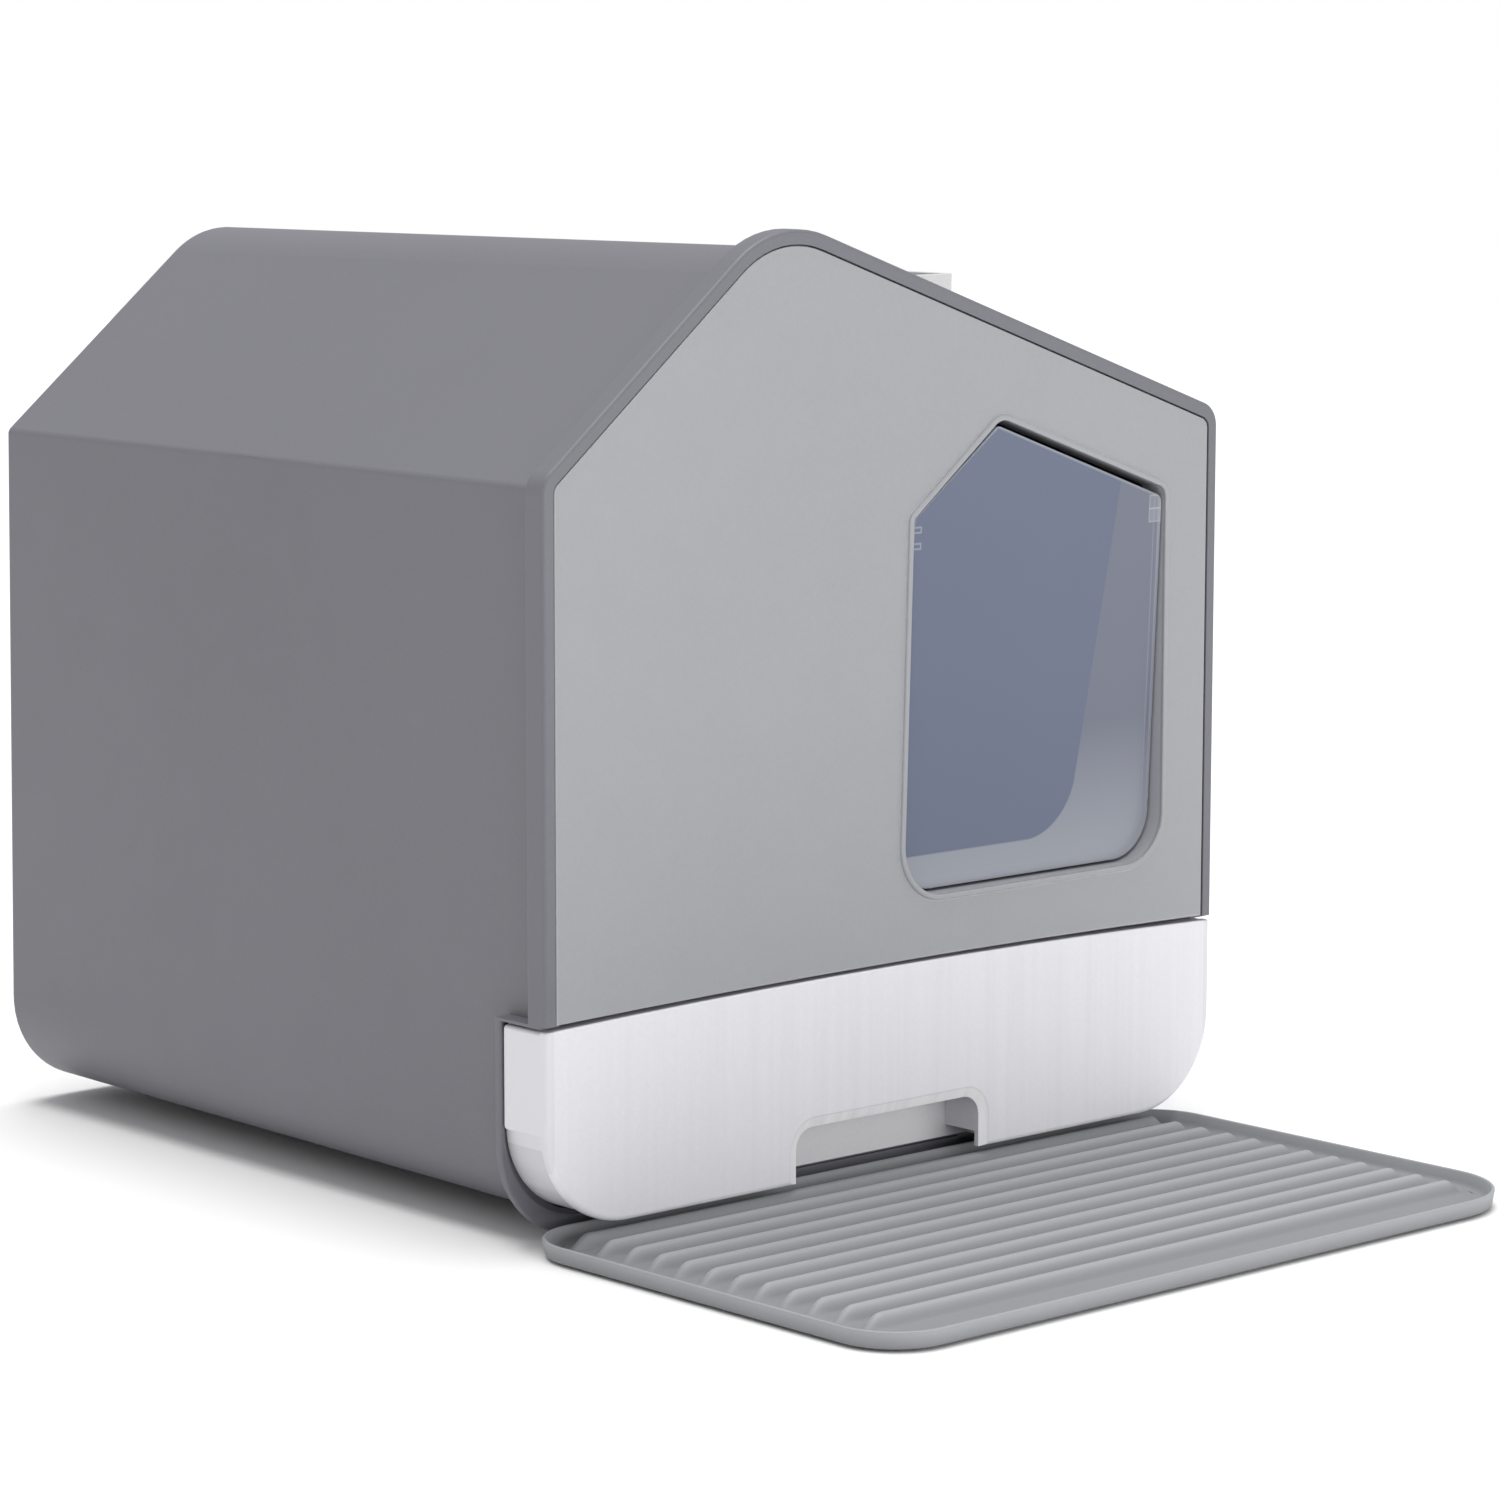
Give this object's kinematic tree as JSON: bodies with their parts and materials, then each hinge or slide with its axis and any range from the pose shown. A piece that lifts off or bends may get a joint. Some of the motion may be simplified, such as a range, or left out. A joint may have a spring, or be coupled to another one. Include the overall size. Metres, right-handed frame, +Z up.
{
  "type": "cat litter box",
  "caption": "House-shaped hooded cat litter box with a clear swing flap, a pull-out litter drawer, a ribbed step mat and a scoop in a side holder.",
  "frame": {"origin": "middle of the whole footprint (hood, mat and scoop holder) on the floor", "axes": "+Z up, -Y towards the front with the flap and mat, +X to the right seen from the front"},
  "size_m": [0.462, 0.651, 0.4428],
  "materials": {
    "hood_plastic": "matte",
    "panel_plastic": "matte",
    "clear_plastic": "clear",
    "white_plastic": "satin",
    "mat_plastic": "matte",
    "clip_plastic": "satin",
    "steel": "satin",
    "slide_plastic": "smooth",
    "foot_rubber": "matte",
    "holder_plastic": "satin",
    "scoop_plastic": "satin"
  },
  "bodies": {
    "house": {"hood_shell": "hood_plastic", "cross_rail": "hood_plastic", "front_panel": "panel_plastic", "panel_clips": "clip_plastic", "hinge_lug_left": "clip_plastic", "hinge_lug_right": "clip_plastic", "hinge_pin_left": "steel", "hinge_pin_right": "steel", "runner_left": "slide_plastic", "runner_right": "slide_plastic", "drawer_stops": "clip_plastic", "feet": "foot_rubber", "holder_bracket": "clip_plastic", "scoop_holder": "holder_plastic", "holder_screws": "steel"},
    "flap": {"flap_door": "clear_plastic"},
    "drawer": {"drawer_front": "white_plastic", "litter_tub": "white_plastic", "front_screws": "steel"},
    "mat": {"step_mat": "mat_plastic", "mat_pads": "foot_rubber"},
    "scoop": {"scoop": "scoop_plastic"}
  },
  "joints": [
    {"name": "flap_swing", "type": "hinge", "parent": "house", "child": "flap", "pos_m": [0.071, -0.1022, 0.3], "axis": [1, 0, 0], "range_deg": [-70, 70]},
    {"name": "drawer_slide", "type": "slide", "parent": "house", "child": "drawer", "axis": [0, -1, 0], "range_m": [0, 0.34]},
    {"name": "mat_slide", "type": "slide", "parent": "house", "child": "mat", "axis": [0, -1, 0], "range_m": [0, 0.25]},
    {"name": "scoop_lift", "type": "slide", "parent": "house", "child": "scoop", "axis": [0, 0, 1], "range_m": [0, 0.26]}
  ]
}
